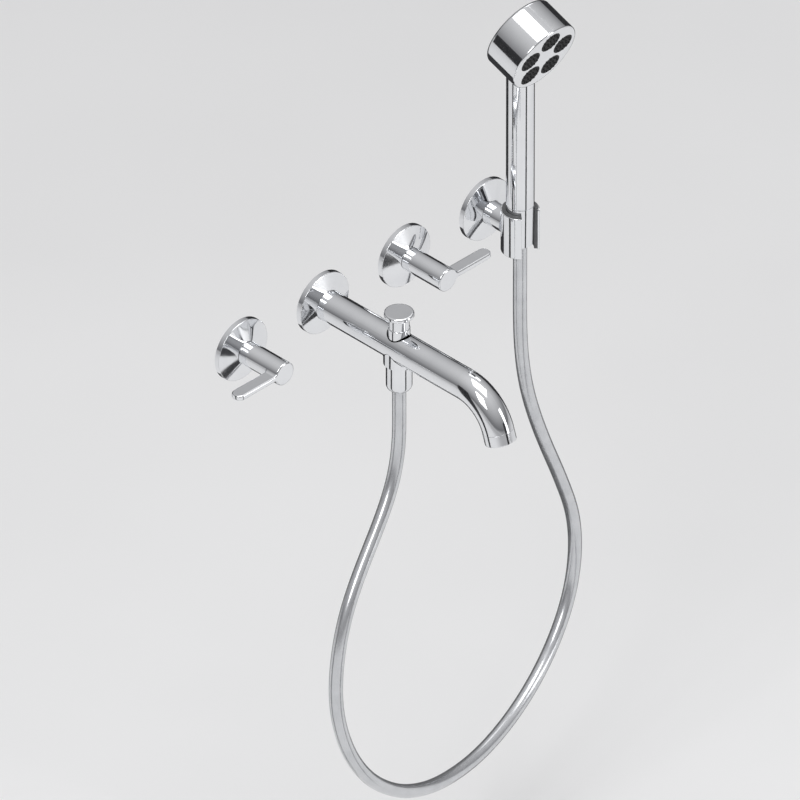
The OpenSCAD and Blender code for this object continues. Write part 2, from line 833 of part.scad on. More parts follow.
module shower_hose() {
    last = len(hose_route) - 1;
    heading = [hose_side / hose_span, hose_back / hose_span, 0];
    across = [heading.y, -heading.x, 0];
    up = [0, 0, 1];
    points = [for (i = [0:last], k = [0:hose_sides - 1])
        let (way = i == 0 || i == last ? [0, i == 0 ? -1 : 1] : hose_route[i + 1] - hose_route[i - 1],
            ahead = way / norm(way),
            outer = -ahead.y * heading + ahead.x * up,
            middle = hose_route[i].x * heading + hose_route[i].y * up,
            turn = 360 * k / hose_sides)
        middle + hose_r * (cos(turn) * outer + sin(turn) * across)];
    color("gainsboro") at_diverter() swept_skin(points, last + 1, hose_sides);
}

// ---------------------------------------------------------------- bracket

// Puts a shape drawn around the Z axis on the handset's upright axis
module at_handset() {
    translate([handset_x, -handset_out, 0]) children();
}

module bracket_plate() {
    color("goldenrod") outward(handset_x) difference() {
        union() {
            shaft(plate_r, 0, plate_t);
            shaft(plate_boss_r, 0, plate_boss_end);
        }
        for (x = SIDES) translate([x * bracket_holes / 2, 0, 0])
            shaft(bracket_hole_d / 2, -over, plate_t + over);
    }
}

module bracket_post() {
    color("silver") difference() {
        outward(handset_x) difference() {
            shaft(post_r, plate_t, handset_out - cradle_bore_r);
            shaft(plate_boss_r + fitted, plate_t - over, post_bore_end);
            shaft(screw_shaft_r + fitted, post_bore_end, handset_out);
            translate([0, 0, post_screw_at]) grub_hole(0, post_r + over);
        }
        at_handset() shaft(cradle_r, -cradle_h, cradle_h);
    }
}

// The wedge that the cradle is open over, facing away from the wall
module cradle_gap() {
    reach = 2 * cradle_r;
    side = reach * sin(cradle_open);
    depth = reach * cos(cradle_open);
    translate([0, 0, -cradle_h]) linear_extrude(2 * cradle_h)
        polygon([[0, 0], [-side, -depth], [side, -depth]]);
}

module cradle() {
    color("silver") difference() {
        at_handset() difference() {
            translate([0, 0, -cradle_h / 2]) rounded_post(cradle_r, cradle_h, cradle_edge, cradle_edge);
            shaft(cradle_bore_r, -cradle_h, cradle_h);
            cradle_gap();
        }
        outward(handset_x) shaft(screw_shaft_r + fitted, 0, handset_out);
    }
}

// The liner's bore follows the cone nut at the free gap
module cradle_liner() {
    cone_rise = wand_bottom + cone_bottom;
    slope = (cone_top_r - cone_bottom_r) / cone_rise;
    top = cradle_h / 2 + liner_lip_t;
    color("darkslategray") difference() {
        at_handset() difference() {
            union() {
                shaft(cradle_bore_r - fitted, -cradle_h / 2 + liner_foot, top);
                shaft(liner_lip_r, cradle_h / 2, top);
            }
            shaft(cone_bottom_r + free, -cradle_h, top);
            translate([0, 0, -cone_bottom]) cylinder(
                r1 = cone_bottom_r + free,
                r2 = cone_top_r + free + slope * over,
                h = cone_rise + over);
            cradle_gap();
        }
        outward(handset_x) shaft(screw_head_r + free, 0, handset_out);
    }
}

module cradle_screw() {
    seat = handset_out - sqrt(cradle_bore_r * cradle_bore_r - screw_head_r * screw_head_r) + fitted;
    socket_r = 1.7;
    color("gray") outward(handset_x) difference() {
        union() {
            shaft(screw_head_r, seat, seat + screw_head_t);
            shaft(screw_shaft_r, seat - cradle_screw_len, seat + slack);
        }
        translate([0, 0, seat]) cylinder(r = socket_r, h = screw_head_t + over, $fn = 6);
    }
}

// ---------------------------------------------------------------- handset

module upper_ferrule() {
    color("goldenrod") at_handset() ferrule(upper_ferrule_top, upper_ferrule_end, upper_ferrule_r);
}

module cone_nut() {
    color("silver") at_handset() difference() {
        translate([0, 0, -cone_bottom])
            cylinder(r1 = cone_bottom_r, r2 = cone_top_r, h = wand_bottom + cone_bottom);
        shaft(hose_hole_r, -cone_bottom - over, wand_bottom);
        shaft(upper_ferrule_r + free, upper_ferrule_end - shoulder_gap, wand_bottom);
        shaft(ferrule_flange_r + free, upper_ferrule_flange - shoulder_gap, wand_bottom);
        shaft(thread_r + thread_gap, thread_end - washer_h, wand_bottom + over);
    }
}

module handset_washer() {
    color("black") at_handset() tube(ferrule_flange_r, ferrule_bore_r, thread_end - washer_h, thread_end);
}

module wand_inlet() {
    color("goldenrod") at_handset() difference() {
        union() {
            shaft(thread_r, thread_end, wand_bottom + over);
            shaft(wand_bore_r - fitted, wand_bottom, wand_bottom + wand_spigot);
        }
        shaft(water_r, thread_end - over, wand_bottom + wand_spigot + over);
    }
}

// Puts a shape drawn along +Z on the head's axis, from its back towards its face.
// The shape's +Y points up along the face.
module at_head() {
    at_handset() translate([0, 0, head_z]) rotate([90 + head_tilt, 0, 0]) translate([0, 0, -head_behind])
        children();
}

module wand_tube() {
    color("silver") difference() {
        at_handset() difference() {
            translate([0, 0, wand_bottom])
                rounded_post(wand_r, head_z - head_r / 2 - wand_bottom, wand_edge, 0);
            shaft(wand_bore_r, wand_bottom - over, head_z);
        }
        at_head() shaft(head_r, -head_t, 2 * head_t);
    }
}

module wand_liner() {
    color("ivory") at_handset()
        tube(liner_tube_r, liner_tube_r - liner_tube_wall, wand_bottom + wand_spigot, liner_tube_top);
}

module head_shell() {
    color("silver") difference() {
        at_head() difference() {
            rounded_post(head_r, face_from, head_back_edge, 0);
            shaft(head_bore_r, head_wall, head_t);
        }
        at_handset() shaft(liner_tube_r + fitted, wand_bottom, head_z - head_r / 2);
    }
}

module pads_at() {
    for (i = [0:PAD_COUNT - 1]) rotate([0, 0, 90 + 360 * i / PAD_COUNT]) translate([pad_at, 0, 0]) children();
}

module face_plate() {
    rim_r = head_bore_r - fitted;
    color("silver") at_head() difference() {
        union() {
            translate([0, 0, face_from]) rounded_post(head_r, face_t, 0, head_front_edge);
            tube(rim_r, face_rim_bore_r, face_from - face_rim_h, face_from + over);
        }
        pads_at() shaft(pad_d / 2 + fitted, face_from - over, head_t + over);
        tube(head_r, rim_r - 2 * head_seal_wire_r,
            head_seal_z - head_seal_wire_r - slack, head_seal_z + head_seal_wire_r + slack);
    }
}

module head_seal() {
    color("black") at_head()
        seal_ring(head_bore_r - fitted - head_seal_wire_r, head_seal_wire_r, head_seal_z);
}

module flow_plate() {
    plate_top = face_from - face_rim_h;
    color("ivory") at_head() difference() {
        shaft(head_bore_r - fitted, plate_top - flow_plate_t, plate_top);
        pads_at() shaft(flow_hole_r, 0, head_t);
    }
}

// Each pad is a soft disc with its own ring of jets and a thin flange behind the face
module spray_pads() {
    color("black") at_head() pads_at() difference() {
        union() {
            shaft(pad_d / 2, face_from - over, head_t + pad_proud);
            shaft(pad_d / 2 + pad_flange, face_from - pad_flange_t, face_from);
        }
        for (ring = pad_hole_rings, i = [1:ring[1]])
            rotate([0, 0, 360 * i / ring[1]]) translate([ring[0], 0, 0])
                shaft(pad_hole_r, face_from - pad_flange_t - over, head_t + over);
    }
}

// ---------------------------------------------------------------- the nodes

color("silver") escutcheon(-pitch, barrel_hole_r, hub_r);  // hot_escutcheon
color("goldenrod") valve_body(-1);  // hot_valve_body
color("silver") handle(-1);  // hot_handle
color("goldenrod") spindle(-1);  // hot_spindle
color("white") moving_disc(-1);  // hot_moving_disc
color("black") spindle_seals(-1);  // hot_spindle_seals
color("dimgray") handle_screw(-1);  // hot_handle_screw
color("silver") escutcheon(pitch, barrel_hole_r, hub_r);  // cold_escutcheon
color("goldenrod") valve_body(1);  // cold_valve_body
color("silver") handle(1);  // cold_handle
color("goldenrod") spindle(1);  // cold_spindle
color("white") moving_disc(1);  // cold_moving_disc
color("black") spindle_seals(1);  // cold_spindle_seals
color("dimgray") handle_screw(1);  // cold_handle_screw
wall_gaskets();
escutcheon_seals();
glide_rings();
fixed_discs();
port_bases();
port_seals();
color("silver") escutcheon(0, spout_hole_r, spout_hole_r);  // spout_escutcheon
spout_body();
inlet_adapter();
inlet_seal();
set_screws();
diverter_cage();
diverter_bonnet();
bonnet_seal();
stem_seal();
diverter_spring();
diverter_stem();
diverter_washer();
diverter_knob();
aerator_collar();
aerator_insert();
aerator_washer();
hose_outlet();
check_valve();
outlet_washer();
lower_ferrule();
lower_hose_nut();
shower_hose();
upper_ferrule();
cone_nut();
handset_washer();
wand_inlet();
wand_tube();
wand_liner();
head_shell();
flow_plate();
head_seal();
face_plate();
spray_pads();
color("silver") escutcheon(handset_x, post_hole_r, post_hole_r);  // bracket_escutcheon
bracket_plate();
bracket_post();
cradle();
cradle_liner();
cradle_screw();
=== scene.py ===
import json
import math

import bpy
import numpy as np
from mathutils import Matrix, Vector

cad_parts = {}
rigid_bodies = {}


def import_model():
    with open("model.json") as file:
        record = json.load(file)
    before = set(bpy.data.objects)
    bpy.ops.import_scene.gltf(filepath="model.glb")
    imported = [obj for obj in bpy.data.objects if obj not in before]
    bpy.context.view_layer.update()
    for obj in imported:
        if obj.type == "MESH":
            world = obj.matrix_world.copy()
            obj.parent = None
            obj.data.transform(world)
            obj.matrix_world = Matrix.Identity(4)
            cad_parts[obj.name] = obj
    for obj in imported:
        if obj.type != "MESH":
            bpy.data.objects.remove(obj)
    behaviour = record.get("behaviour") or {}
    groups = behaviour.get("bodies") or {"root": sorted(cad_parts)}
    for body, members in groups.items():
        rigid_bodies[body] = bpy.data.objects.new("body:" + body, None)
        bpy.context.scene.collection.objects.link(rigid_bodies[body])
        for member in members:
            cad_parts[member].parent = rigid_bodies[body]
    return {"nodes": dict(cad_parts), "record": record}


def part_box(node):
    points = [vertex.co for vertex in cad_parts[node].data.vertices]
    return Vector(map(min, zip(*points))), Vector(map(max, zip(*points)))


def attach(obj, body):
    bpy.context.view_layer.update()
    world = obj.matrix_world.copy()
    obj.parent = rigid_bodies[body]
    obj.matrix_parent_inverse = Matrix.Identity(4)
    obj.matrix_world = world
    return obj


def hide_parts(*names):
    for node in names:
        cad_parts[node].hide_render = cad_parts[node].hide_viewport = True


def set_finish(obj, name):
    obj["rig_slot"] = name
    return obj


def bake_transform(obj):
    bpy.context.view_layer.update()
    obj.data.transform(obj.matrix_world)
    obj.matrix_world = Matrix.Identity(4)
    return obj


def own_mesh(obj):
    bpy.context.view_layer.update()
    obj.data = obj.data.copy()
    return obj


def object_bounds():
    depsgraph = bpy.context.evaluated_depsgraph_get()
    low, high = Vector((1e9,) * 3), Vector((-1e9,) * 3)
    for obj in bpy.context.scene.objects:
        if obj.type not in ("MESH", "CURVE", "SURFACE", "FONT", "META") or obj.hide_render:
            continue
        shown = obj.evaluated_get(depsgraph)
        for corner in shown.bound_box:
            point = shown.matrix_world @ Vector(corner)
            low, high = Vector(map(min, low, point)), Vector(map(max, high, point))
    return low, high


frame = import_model()
CAD_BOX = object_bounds()
NODES = frame["nodes"]
MM = 0.001


# ---------------------------------------------------------------- places taken from the frame

def middle(node):
    low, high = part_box(node)
    return (low + high) / 2


DIVERTER = middle("diverter_knob")
HANDSET = middle("cone_nut")
HOT = middle("hot_escutcheon")
COLD = middle("cold_escutcheon")


# ---------------------------------------------------------------- camera

def make_camera():
    """An isometric view: a long lens stands far back along (-1, -1, 1)."""
    back = Vector((-1, -1, 1)).normalized()
    right = Vector((1, -1, 0)).normalized()
    up = Vector((1, 1, 2)).normalized()
    seen_width = 0.7086
    aim_right, aim_down, aim_ahead = 0.0700, 0.0877, 0.100
    target = right * aim_right - up * aim_down - back * aim_ahead
    cam = bpy.data.objects.new("camera", bpy.data.cameras.new("camera"))
    cam.data.sensor_width = 36
    cam.data.lens = 1600
    cam.location = target + back * (seen_width * cam.data.lens / cam.data.sensor_width)
    cam.rotation_mode = "QUATERNION"
    cam.rotation_quaternion = (-back).to_track_quat("-Z", "Y")
    cam.data.clip_start, cam.data.clip_end = 1, 200
    bpy.context.scene.collection.objects.link(cam)
    bpy.context.scene.camera = cam


make_camera()


# ---------------------------------------------------------------- mesh helpers

def new_piece(name, verts, faces, body, slot, replaced=(), uvs=None, normals=None):
    mesh = bpy.data.meshes.new(name)
    mesh.from_pydata([tuple(v) for v in verts], [], [tuple(f) for f in faces])
    mesh.polygons.foreach_set("use_smooth", [True] * len(mesh.polygons))
    if uvs is not None:
        layer = mesh.uv_layers.new(name="UVMap")
        layer.data.foreach_set("uv", np.asarray(uvs, np.float32).ravel())
    if normals is not None:
        mesh.normals_split_custom_set_from_vertices([tuple(n) for n in normals])
    mesh.update()
    obj = bpy.data.objects.new(name, mesh)
    bpy.context.scene.collection.objects.link(obj)
    if body:
        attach(obj, body)
    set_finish(obj, slot)
    if replaced:
        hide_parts(*replaced)
    return obj


# ---------------------------------------------------------------- the hose

HOSE_R = 6.25 * MM
# (distance from the diverter's axis along the hose's upright plane, height), in millimetres
HOSE_ROUTE = [
    (0, -40), (0, -72), (-1, -104), (-9, -135), (-26, -161), (-48, -184), (-70, -206),
    (-90, -232), (-103, -262), (-109, -294), (-108, -326), (-100, -357), (-87, -387),
    (-69, -416), (-48, -442), (-24, -465), (3, -486), (32, -503), (62, -516), (95, -525),
    (128, -530), (161, -530), (194, -525), (225, -515), (253, -500), (277, -480),
    (296, -454), (306, -423), (307, -390), (300, -358), (287, -327), (273, -297),
    (258, -267), (244, -237), (231, -206), (220, -173), (213, -138), (210, -102),
]
# The heights of the last two points, which are on the handset's axis
HOSE_TOP = (-60, -6)


def hose_line():
    """The route in its upright plane as one smooth curve, sampled every few millimetres."""
    span = math.hypot(HANDSET.x - DIVERTER.x, HANDSET.y - DIVERTER.y) / MM
    pts = np.array(HOSE_ROUTE + [(span, z) for z in HOSE_TOP], float)
    ends = [2 * pts[0] - pts[1]], [2 * pts[-1] - pts[-2]]
    p = np.vstack([ends[0], pts, ends[1]])
    ctrl = p.copy()
    ctrl[1:-1] -= (p[:-2] - 2 * p[1:-1] + p[2:]) / 6
    steps = 9
    out = []
    for i in range(len(pts) - 1):
        a, b, c = ctrl[i], ctrl[i + 1], ctrl[i + 2]
        d = ctrl[min(i + 3, len(ctrl) - 1)]
        for k in range(steps):
            t = k / steps
            out.append(((1 - t) ** 3 * a + (3 * t ** 3 - 6 * t ** 2 + 4) * b
                        + (-3 * t ** 3 + 3 * t ** 2 + 3 * t + 1) * c + t ** 3 * d) / 6)
    out.append(pts[-1])
    line = np.array(out) * MM
    toward = np.array([HANDSET.x - DIVERTER.x, HANDSET.y - DIVERTER.y]) / (span * MM)
    return np.column_stack([DIVERTER.x + line[:, 0] * toward[0], DIVERTER.y + line[:, 0] * toward[1],
                            line[:, 1]]), np.array([toward[1], -toward[0], 0.0])


def tube_mesh(line, across, radius, sides):
    """Rings round a plane curve, with UVs in metres along it and turns round it."""
    ahead = np.gradient(line, axis=0)
    ahead /= np.linalg.norm(ahead, axis=1)[:, None]
    outer = np.cross(across, ahead)
    turn = np.arange(sides) * 2 * math.pi / sides
    normal = (np.cos(turn)[None, :, None] * outer[:, None, :] + np.sin(turn)[None, :, None] * across)
    verts = (line[:, None, :] + radius * normal).reshape(-1, 3)
    along = np.concatenate([[0], np.cumsum(np.linalg.norm(np.diff(line, axis=0), axis=1))])
    faces, uvs = [], []
    n = len(line)
    for i in range(n - 1):
        for k in range(sides):
            j = (k + 1) % sides
            faces.append((i * sides + k, i * sides + j, (i + 1) * sides + j, (i + 1) * sides + k))
            u0, u1 = k / sides, (k + 1) / sides
            uvs += [(u0, along[i]), (u1, along[i]), (u1, along[i + 1]), (u0, along[i + 1])]
    faces.append(tuple(range(sides))[::-1])
    faces.append(tuple((n - 1) * sides + k for k in range(sides)))
    uvs += [(0, 0)] * (2 * sides)
    return verts, faces, uvs, float(along[-1])


def make_hose():
    line, across = hose_line()
    verts, faces, uvs, length = tube_mesh(line, across, HOSE_R, sides=48)
    hose = new_piece("hose", verts, faces, None, "hose_skin", ["shower_hose"], uvs)
    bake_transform(hose)


make_hose()


# ---------------------------------------------------------------- smooth solids from distance fields

def net(field, low, high, step):
    """A closed quad mesh of the surface where field is zero, with each vertex moved onto it.
    Returns vertices, faces and the field's own normals."""
    sides = [np.arange(a, b + step, step) for a, b in zip(low, high)]
    grid = np.meshgrid(*sides, indexing="ij")
    value = field(*grid)
    inside = value < 0
    shape = np.array(value.shape) - 1
    total = np.zeros((*shape, 3))
    count = np.zeros(shape)
    corners = [(i, j, k) for i in (0, 1) for j in (0, 1) for k in (0, 1)]

    def at(array, corner):
        return array[tuple(slice(c, c + n) for c, n in zip(corner, shape))]

    for a in corners:
        for axis in range(3):
            if a[axis]:
                continue
            b = tuple(1 if n == axis else c for n, c in enumerate(a))
            va, vb = at(value, a), at(value, b)
            cross = (va < 0) != (vb < 0)
            t = np.where(cross, va / np.where(cross, va - vb, 1), 0)
            for n in range(3):
                total[..., n] += np.where(cross, a[n] + (t if n == axis else 0), 0)
            count += cross
    used = count > 0
    number = np.full(shape, -1)
    number[used] = np.arange(used.sum())
    cells = np.argwhere(used)
    verts = (cells + total[used] / count[used][:, None]) * step + np.array(low)
    faces = []
    for axis in range(3):
        u, v = (axis + 1) % 3, (axis + 2) % 3
        first = inside.take(range(inside.shape[axis] - 1), axis)
        second = inside.take(range(1, inside.shape[axis]), axis)
        where = np.argwhere(first != second)
        where = where[(where[:, u] > 0) & (where[:, v] > 0)
                      & (where[:, u] < shape[u]) & (where[:, v] < shape[v])]
        quad = []
        for du, dv in ((1, 1), (0, 1), (0, 0), (1, 0)):
            c = where.copy()
            c[:, u] -= du
            c[:, v] -= dv
            quad.append(number[tuple(c.T)])
        quad = np.column_stack(quad)
        outward = first[tuple(where.T)]
        quad[~outward] = quad[~outward][:, ::-1]
        faces.append(quad)
    faces = np.vstack(faces)

    passes, least_slope, probe = 4, 0.2, step * 0.02

    def slope(p):
        g = [field(*(p + d).T) - field(*(p - d).T) for d in np.eye(3) * probe]
        return np.array(g).T / (2 * probe)

    for _ in range(passes):
        g = slope(verts)
        move = (field(*verts.T) / np.maximum((g ** 2).sum(1), least_slope))[:, None] * g
        verts -= np.clip(move, -step / 2, step / 2)
    g = slope(verts)
    return verts, faces, g / np.maximum(np.linalg.norm(g, axis=1), 1e-9)[:, None]


def both(a, b, edge):
    """Where both solids are, with that rounding on the edge between them"""
    a, b = a + edge, b + edge
    return np.hypot(np.maximum(a, 0), np.maximum(b, 0)) + np.minimum(np.maximum(a, b), 0) - edge


def either(a, b, fillet):
    """Where either solid is, with that fillet in the corner between them"""
    corner = np.hypot(np.maximum(fillet - a, 0), np.maximum(fillet - b, 0))
    return np.maximum(fillet, np.minimum(a, b)) - corner


# ---------------------------------------------------------------- valve handles

def handle_field(x, out, z):
    """A round hub with a flat lever towards +x. Millimetres; out is the distance from the wall."""
    hub_r, front, back = 11.1, 57.7, 10.6
    tip, width, half_t = 57.0, 13.0, 2.55
    lever_edge, front_edge, back_edge, root_fillet = 1.5, 1.35, 0.25, 2.2
    bore_r, bore_end, stem_r, stem_end = 9.2, 36, 4.1, 50.8
    screw_r, screw_at = 2.05, 41.2
    round_r = width / 2
    r = np.hypot(x, z)
    rear = both(x - tip, front - width - out, round_r)
    lever = both(np.maximum(np.abs(z) - half_t, -x), rear, lever_edge)
    solid = either(r - hub_r, lever, root_fillet)
    solid = both(solid, both(x - tip, out - front, round_r), front_edge)
    solid = both(solid, back - out, back_edge)
    bore = np.maximum(r - bore_r, out - bore_end)
    stem_hole = np.maximum(r - stem_r, out - stem_end)
    screw_hole = np.maximum(np.hypot(x, out - screw_at) - screw_r, z)
    return np.maximum(solid, -np.minimum(np.minimum(bore, stem_hole), screw_hole))


def make_handles():
    step = 0.5
    low, high = (-12.5, 9.5, -12.5), (58.5, 59, 12.5)
    verts, faces, normals = net(handle_field, low, high, step)
    for side, name, centre in ((-1, "hot", HOT), (1, "cold", COLD)):
        place = np.column_stack([centre.x + side * verts[:, 0] * MM, -verts[:, 1] * MM, verts[:, 2] * MM])
        turned = normals * (side, -1, 1)
        quads = faces[:, ::-1] if side > 0 else faces
        new_piece(name + "_lever_handle", place, quads, name + "_lever", "chrome_plate", [name + "_handle"],
                  normals=turned)


make_handles()


# ---------------------------------------------------------------- cradle

def cradle_field(x, y, z):
    """An open ring with rounded lips, about the handset's axis. -y faces away from the wall."""
    mid_r, half_wall, half_h, edge = 16.3, 1.0, 21.6, 0.55
    top_corner, bottom_corner, screw_hole_r = 2.2, 0.8, 2.45
    lip = math.radians(140)
    along = (np.abs(np.arctan2(x, y)) - lip) * mid_r
    corner = np.where(z > 0, top_corner, bottom_corner)
    a, b = along + corner, np.abs(z) - half_h + corner
    outline = np.hypot(np.maximum(a, 0), np.maximum(b, 0)) + np.minimum(np.maximum(a, b), 0) - corner
    solid = both(outline, np.abs(np.hypot(x, y) - mid_r) - half_wall, edge)
    return np.maximum(solid, -np.maximum(np.hypot(x, z) - screw_hole_r, -y))


def make_cradle():
    step = 0.45
    low, high = (-18.5, -18.5, -23), (18.5, 18.5, 23)
    verts, faces, normals = net(cradle_field, low, high, step)
    new_piece("cradle_shell", verts * MM + np.array([HANDSET.x, HANDSET.y, 0]), faces,
              "root", "chrome_plate", ["cradle"], normals=normals)


make_cradle()


# ---------------------------------------------------------------- coves round the diverter's bosses

def blend_ring(name, boss_r, fillet, upward):
    """The cove that a ball of the fillet's radius leaves, rolling round an upright boss on the spout"""
    spout_r = 14.3
    turns, steps = 192, 9
    sunk = 0.25
    verts, normals = [], []
    for i in range(turns):
        a = 2 * math.pi * i / turns
        reach = boss_r + fillet
        c = np.array([reach * math.cos(a), reach * math.sin(a), 0.0])
        c[2] = math.sqrt((spout_r + fillet) ** 2 - c[0] ** 2)
        to_boss = np.array([-math.cos(a), -math.sin(a), 0.0])
        to_spout = -np.array([c[0], 0.0, c[2]]) / (spout_r + fillet)
        angle = math.acos(max(-1.0, min(1.0, float(to_boss @ to_spout))))
        for k in range(steps + 1):
            t = k / steps
            d = math.sin((1 - t) * angle) * to_boss + math.sin(t * angle) * to_spout
            d = d / max(math.sin(angle), 1e-6)
            verts.append(c + fillet * d)
            normals.append(-d)
        deep = c + (fillet + sunk) * to_spout + sunk * to_boss
        verts.append(deep)
        normals.append((to_boss + to_spout) / np.linalg.norm(to_boss + to_spout))
    ring = steps + 2
    faces = []
    for i in range(turns):
        j = (i + 1) % turns
        for k in range(ring):
            m = (k + 1) % ring
            faces.append((i * ring + k, j * ring + k, j * ring + m, i * ring + m))
    verts, normals = np.array(verts), np.array(normals)
    if not upward:
        verts[:, 2] *= -1
        normals[:, 2] *= -1
        faces = [f[::-1] for f in faces]
    new_piece(name, verts * MM + np.array([DIVERTER.x, DIVERTER.y, 0]), faces, "root", "chrome_plate", (),
              normals=normals)


blend_ring("top_boss_blend", boss_r=9.95, fillet=1.7, upward=True)
blend_ring("bottom_boss_blend", boss_r=14.1, fillet=1.7, upward=False)


# ---------------------------------------------------------------- the diverter's return spring

def make_spring():
    """One wire wound into a helix, its top held under the bonnet"""
    wire_r, coil_r, turns, travel = 0.4, 3.6, 4.5, 8.4
    low, high = (p[2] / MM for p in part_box("diverter_spring"))
    steps, sides = 160, 12
    verts, faces = [], []
    for i in range(steps + 1):
        t = i / steps
        a = 2 * math.pi * turns * t
        z = low + wire_r + (high - low - 2 * wire_r) * t
        for k in range(sides):
            b = 2 * math.pi * k / sides
            r = coil_r + wire_r * math.cos(b)
            verts.append((DIVERTER.x + r * math.cos(a) * MM, DIVERTER.y + r * math.sin(a) * MM,
                          (z + wire_r * math.sin(b)) * MM))
    for i in range(steps):
        for k in range(sides):
            j = (k + 1) % sides
            faces.append((i * sides + k, i * sides + j, (i + 1) * sides + j, (i + 1) * sides + k))
    faces.append(tuple(range(sides))[::-1])
    faces.append(tuple(steps * sides + k for k in range(sides)))
    spring = new_piece("return_spring", verts, faces, "root", "spring_steel", ["diverter_spring"])
    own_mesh(spring)


make_spring()


# ---------------------------------------------------------------- spray pads

HEAD_Z = 0.2101
HEAD_CROSS = Vector((HANDSET.x, HANDSET.y, HEAD_Z))
HEAD_TILT = math.radians(20)
HEAD_OUT = Vector((0, -math.cos(HEAD_TILT), -math.sin(HEAD_TILT)))
HEAD_UP = Vector((0, -math.sin(HEAD_TILT), math.cos(HEAD_TILT)))
HEAD_SIDE = HEAD_UP.cross(HEAD_OUT)
HEAD_FACE = 32.3


def lathe(profile, sides, centre, ring_up, ring_side, verts, faces):
    """Turns a profile of (radius, height) about an axis. The first and last points may lie on the axis."""
    axis = ring_side.cross(ring_up)
    rows = []
    for r, h in profile:
        if r < 1e-6:
            verts.append(centre + axis * h)
            rows.append([len(verts) - 1] * sides)
        else:
            row = []
            for k in range(sides):
                a = 2 * math.pi * k / sides
                verts.append(centre + axis * h + (ring_side * math.cos(a) + ring_up * math.sin(a)) * r)
                row.append(len(verts) - 1)
            rows.append(row)
    for low, high in zip(rows, rows[1:]):
        for k in range(sides):
            j = (k + 1) % sides
            face = []
            for v in (low[k], low[j], high[j], high[k]):
                if v not in face:
                    face.append(v)
            if len(face) > 2:
                faces.append(tuple(face))


def make_pads():
    """Soft round pads, slightly crowned, each with rings of small raised jets"""
    pad_r, ring_r, count = 10.8, 21.0, 5
    pad_sides, jet_sides = 72, 20
    jet_rings, crown_h, crown_fall = ((0, 1), (4.0, 6), (8.0, 12)), 0.5, 0.2
    verts, faces = [], []
    crown = [(0, -4.2), (pad_r + 0.4, -4.2), (pad_r + 0.4, -3.5), (pad_r, -3.4), (pad_r, -0.35),
             (pad_r - 0.12, -0.1), (pad_r - 0.45, 0.08), (pad_r - 1.1, 0.2), (pad_r - 2.5, 0.3), (6.0, 0.42),
             (3.0, 0.5), (0, 0.52)]
    jet = [(1.05, -0.1), (0.92, 0.25), (0.80, 0.72), (0.70, 0.92), (0.52, 0.98), (0.36, 0.92), (0.30, 0.70),
           (0.28, -0.1)]
    for i in range(count):
        a = 2 * math.pi * i / count
        pad_middle = (HEAD_CROSS + (HEAD_OUT * HEAD_FACE + HEAD_UP * (ring_r * math.cos(a))
                                    + HEAD_SIDE * (ring_r * math.sin(a))) * MM)
        scaled = [(r * MM, h * MM) for r, h in crown]
        lathe(scaled, pad_sides, pad_middle, HEAD_UP, HEAD_SIDE, verts, faces)
        for jets_r, jets in jet_rings:
            for k in range(jets):
                b = 2 * math.pi * (k + 0.5) / jets
                lift = crown_h - crown_fall * (jets_r / jet_rings[-1][0]) ** 2
                spot = pad_middle + (HEAD_OUT * lift + HEAD_UP * (jets_r * math.cos(b))
                                     + HEAD_SIDE * (jets_r * math.sin(b))) * MM
                scaled = [(r * MM, h * MM) for r, h in jet] + [(jet[0][0] * MM, jet[0][1] * MM)]
                lathe(scaled, jet_sides, spot, HEAD_UP, HEAD_SIDE, verts, faces)
    new_piece("soft_spray_pads", verts, faces, "handset", "spray_rubber", ["spray_pads"])


make_pads()


# ---------------------------------------------------------------- looks

